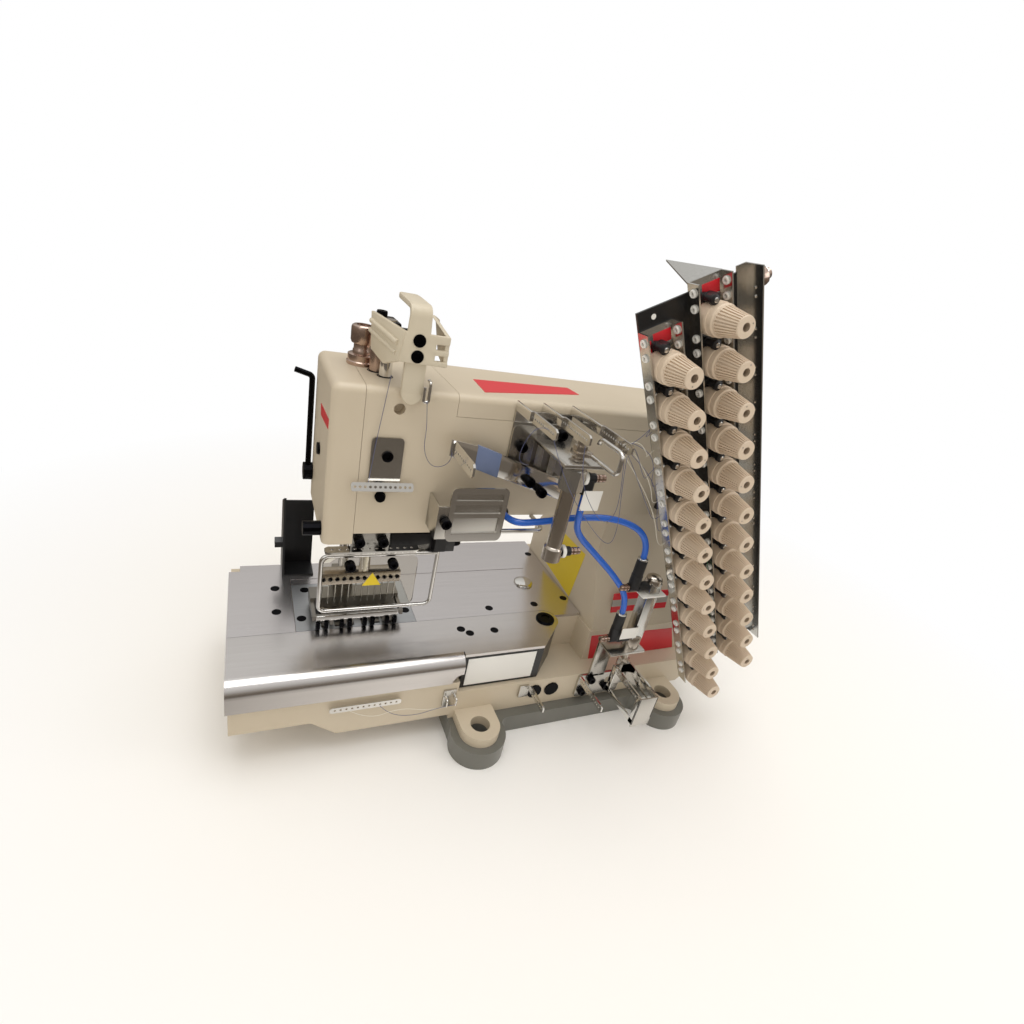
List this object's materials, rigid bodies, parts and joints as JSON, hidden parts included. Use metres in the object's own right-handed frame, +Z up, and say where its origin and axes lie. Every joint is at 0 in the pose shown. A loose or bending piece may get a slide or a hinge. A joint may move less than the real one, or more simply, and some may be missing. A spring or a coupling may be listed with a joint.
{
  "type": "industrial sewing machine",
  "caption": "Flat-bed chainstitch sewing machine with a needle row, swinging bed cover, air thread pullers and a leaning rack of thread tension knobs.",
  "frame": {"origin": "midway between the four fixing holes, on the plane that the oil pan stands on", "axes": "+X to the right along the arm, +Y to the back, +Z up"},
  "size_m": [0.5314, 0.2995, 0.4623],
  "materials": {
    "cream_paint": "smooth enamel",
    "grey_paint": "matt enamel",
    "ground_steel": "ground and polished",
    "dark_steel": "machined",
    "black_sheet": "black paint",
    "steel_parts": "plated",
    "bright_bars": "polished",
    "black_metal": "blackened",
    "cream_plastic": "moulded",
    "guard_wire": "plated wire",
    "clear_plastic": "clear plastic sheet",
    "steel_sheet": "plated sheet",
    "cylinder_steel": "turned",
    "fitting_plastic": "moulded",
    "blue_hose": "smooth tube",
    "bright_channel": "bright extrusion",
    "post_black": "moulded",
    "white_eyelet": "glazed",
    "wheel_paint": "black enamel",
    "knob_plastic": "moulded"
  },
  "bodies": {
    "machine": {"bed_casting": "cream_paint", "oil_pan": "grey_paint", "bed_plates": "ground_steel", "needle_plate": "ground_steel", "arm_casting": "cream_paint", "face_cover": "cream_paint", "top_cover": "cream_paint", "black_plates": "black_sheet", "machine_screws": "steel_parts", "thread_cage": "cream_plastic", "thread_guides": "steel_parts", "upper_bracket": "steel_sheet", "lower_bracket": "black_sheet", "air_cylinders": "cylinder_steel", "air_fittings": "fitting_plastic", "air_hose_long": "blue_hose", "air_hose_short": "blue_hose", "rack_channels": "bright_channel", "rack_back": "black_sheet", "tension_posts": "post_black", "eyelets": "white_eyelet"},
    "front_cover": {"front_cover": "ground_steel", "cover_skirt": "black_sheet"},
    "needle_bar": {"needle_bar": "bright_bars", "take_up_lever": "black_metal"},
    "presser_bar": {"presser_bar": "bright_bars", "presser_foot": "dark_steel"},
    "lifter_lever": {"lifter_lever": "bright_bars"},
    "pressure_knob": {"pressure_knob": "bright_bars"},
    "finger_guard": {"finger_guard": "guard_wire", "guard_screen": "clear_plastic"},
    "looper_rocker": {"looper_rocker": "dark_steel"},
    "feed_dog": {"feed_dog": "dark_steel"},
    "upper_rod": {"upper_rod": "bright_bars"},
    "lower_rod": {"lower_rod": "bright_bars"},
    "handwheel": {"handwheel": "wheel_paint"},
    "tension_knob_01": {"tension_knob_01": "knob_plastic"},
    "tension_knob_02": {"tension_knob_02": "knob_plastic"},
    "tension_knob_03": {"tension_knob_03": "knob_plastic"},
    "tension_knob_04": {"tension_knob_04": "knob_plastic"},
    "tension_knob_05": {"tension_knob_05": "knob_plastic"},
    "tension_knob_06": {"tension_knob_06": "knob_plastic"},
    "tension_knob_07": {"tension_knob_07": "knob_plastic"},
    "tension_knob_08": {"tension_knob_08": "knob_plastic"},
    "tension_knob_09": {"tension_knob_09": "knob_plastic"},
    "tension_knob_10": {"tension_knob_10": "knob_plastic"},
    "tension_knob_11": {"tension_knob_11": "knob_plastic"},
    "tension_knob_12": {"tension_knob_12": "knob_plastic"},
    "tension_knob_13": {"tension_knob_13": "knob_plastic"},
    "tension_knob_14": {"tension_knob_14": "knob_plastic"},
    "tension_knob_15": {"tension_knob_15": "knob_plastic"},
    "tension_knob_16": {"tension_knob_16": "knob_plastic"},
    "tension_knob_17": {"tension_knob_17": "knob_plastic"},
    "tension_knob_18": {"tension_knob_18": "knob_plastic"},
    "tension_knob_19": {"tension_knob_19": "knob_plastic"},
    "tension_knob_20": {"tension_knob_20": "knob_plastic"},
    "tension_knob_21": {"tension_knob_21": "knob_plastic"},
    "tension_knob_22": {"tension_knob_22": "knob_plastic"},
    "tension_knob_23": {"tension_knob_23": "knob_plastic"},
    "tension_knob_24": {"tension_knob_24": "knob_plastic"}
  },
  "joints": [
    {"name": "front_cover_swing", "type": "hinge", "parent": "machine", "child": "front_cover", "pos_m": [-0.0253, -0.0484, 0.0935], "axis": [0, 0, 1], "range_deg": [0, 75]},
    {"name": "needle_bar_stroke", "type": "slide", "parent": "machine", "child": "needle_bar", "axis": [0, 0, 1], "range_m": [-0.028, 0]},
    {"name": "presser_foot_lift", "type": "slide", "parent": "machine", "child": "presser_bar", "axis": [0, 0, 1], "range_m": [0, 0.007]},
    {"name": "lifter_turn", "type": "hinge", "parent": "machine", "child": "lifter_lever", "pos_m": [-0.261, 0.041, 0.219], "axis": [1, 0, 0], "range_deg": [0, 40]},
    {"name": "pressure_knob_turn", "type": "hinge", "parent": "machine", "child": "pressure_knob", "pos_m": [-0.2275, 0.013, 0.344], "axis": [0, 0, 1], "continuous": true},
    {"name": "finger_guard_swing", "type": "hinge", "parent": "machine", "child": "finger_guard", "pos_m": [-0.157, -0.0465, 0.188], "axis": [0, 0, 1], "range_deg": [0, 110]},
    {"name": "looper_rock", "type": "hinge", "parent": "machine", "child": "looper_rocker", "pos_m": [-0.206, 0.022, 0.052], "axis": [1, 0, 0], "range_deg": [-6, 6]},
    {"name": "feed_travel", "type": "slide", "parent": "machine", "child": "feed_dog", "axis": [0, 1, 0], "range_m": [-0.002, 0.002]},
    {"name": "upper_rod_stroke", "type": "slide", "parent": "machine", "child": "upper_rod", "axis": [0, 0, 1], "range_m": [0, 0.025]},
    {"name": "lower_rod_stroke", "type": "slide", "parent": "machine", "child": "lower_rod", "axis": [0, 0, 1], "range_m": [-0.02, 0]},
    {"name": "handwheel_turn", "type": "hinge", "parent": "machine", "child": "handwheel", "pos_m": [0.165, 0.01, 0.062], "axis": [1, 0, 0], "continuous": true},
    {"name": "tension_knob_01_turn", "type": "hinge", "parent": "machine", "child": "tension_knob_01", "pos_m": [-0.0381, -0.13, 0.38412], "axis": [0, -1, 0], "continuous": true},
    {"name": "tension_knob_02_turn", "type": "hinge", "parent": "machine", "child": "tension_knob_02", "pos_m": [-0.0226, -0.13, 0.35522], "axis": [0, -1, 0], "continuous": true},
    {"name": "tension_knob_03_turn", "type": "hinge", "parent": "machine", "child": "tension_knob_03", "pos_m": [-0.0071, -0.13, 0.32631], "axis": [0, -1, 0], "continuous": true},
    {"name": "tension_knob_04_turn", "type": "hinge", "parent": "machine", "child": "tension_knob_04", "pos_m": [0.0084, -0.13, 0.2974], "axis": [0, -1, 0], "continuous": true},
    {"name": "tension_knob_05_turn", "type": "hinge", "parent": "machine", "child": "tension_knob_05", "pos_m": [0.0239, -0.13, 0.2685], "axis": [0, -1, 0], "continuous": true},
    {"name": "tension_knob_06_turn", "type": "hinge", "parent": "machine", "child": "tension_knob_06", "pos_m": [0.0394, -0.13, 0.23959], "axis": [0, -1, 0], "continuous": true},
    {"name": "tension_knob_07_turn", "type": "hinge", "parent": "machine", "child": "tension_knob_07", "pos_m": [0.0549, -0.13, 0.21068], "axis": [0, -1, 0], "continuous": true},
    {"name": "tension_knob_08_turn", "type": "hinge", "parent": "machine", "child": "tension_knob_08", "pos_m": [0.0704, -0.13, 0.18178], "axis": [0, -1, 0], "continuous": true},
    {"name": "tension_knob_09_turn", "type": "hinge", "parent": "machine", "child": "tension_knob_09", "pos_m": [0.0859, -0.13, 0.15287], "axis": [0, -1, 0], "continuous": true},
    {"name": "tension_knob_10_turn", "type": "hinge", "parent": "machine", "child": "tension_knob_10", "pos_m": [0.1014, -0.13, 0.12396], "axis": [0, -1, 0], "continuous": true},
    {"name": "tension_knob_11_turn", "type": "hinge", "parent": "machine", "child": "tension_knob_11", "pos_m": [0.1169, -0.13, 0.09506], "axis": [0, -1, 0], "continuous": true},
    {"name": "tension_knob_12_turn", "type": "hinge", "parent": "machine", "child": "tension_knob_12", "pos_m": [0.1324, -0.13, 0.06615], "axis": [0, -1, 0], "continuous": true},
    {"name": "tension_knob_13_turn", "type": "hinge", "parent": "machine", "child": "tension_knob_13", "pos_m": [-0.00966, -0.13, 0.42207], "axis": [0, -1, 0], "continuous": true},
    {"name": "tension_knob_14_turn", "type": "hinge", "parent": "machine", "child": "tension_knob_14", "pos_m": [0.00584, -0.13, 0.39316], "axis": [0, -1, 0], "continuous": true},
    {"name": "tension_knob_15_turn", "type": "hinge", "parent": "machine", "child": "tension_knob_15", "pos_m": [0.02134, -0.13, 0.36425], "axis": [0, -1, 0], "continuous": true},
    {"name": "tension_knob_16_turn", "type": "hinge", "parent": "machine", "child": "tension_knob_16", "pos_m": [0.03684, -0.13, 0.33535], "axis": [0, -1, 0], "continuous": true},
    {"name": "tension_knob_17_turn", "type": "hinge", "parent": "machine", "child": "tension_knob_17", "pos_m": [0.05234, -0.13, 0.30644], "axis": [0, -1, 0], "continuous": true},
    {"name": "tension_knob_18_turn", "type": "hinge", "parent": "machine", "child": "tension_knob_18", "pos_m": [0.06784, -0.13, 0.27753], "axis": [0, -1, 0], "continuous": true},
    {"name": "tension_knob_19_turn", "type": "hinge", "parent": "machine", "child": "tension_knob_19", "pos_m": [0.08334, -0.13, 0.24863], "axis": [0, -1, 0], "continuous": true},
    {"name": "tension_knob_20_turn", "type": "hinge", "parent": "machine", "child": "tension_knob_20", "pos_m": [0.09884, -0.13, 0.21972], "axis": [0, -1, 0], "continuous": true},
    {"name": "tension_knob_21_turn", "type": "hinge", "parent": "machine", "child": "tension_knob_21", "pos_m": [0.11434, -0.13, 0.19082], "axis": [0, -1, 0], "continuous": true},
    {"name": "tension_knob_22_turn", "type": "hinge", "parent": "machine", "child": "tension_knob_22", "pos_m": [0.12984, -0.13, 0.16191], "axis": [0, -1, 0], "continuous": true},
    {"name": "tension_knob_23_turn", "type": "hinge", "parent": "machine", "child": "tension_knob_23", "pos_m": [0.14534, -0.13, 0.133], "axis": [0, -1, 0], "continuous": true},
    {"name": "tension_knob_24_turn", "type": "hinge", "parent": "machine", "child": "tension_knob_24", "pos_m": [0.16084, -0.13, 0.10409], "axis": [0, -1, 0], "continuous": true}
  ],
  "couplings": [
    {"joint": "presser_foot_lift", "follows": "lifter_turn", "m_per_rad": 0.01}
  ]
}
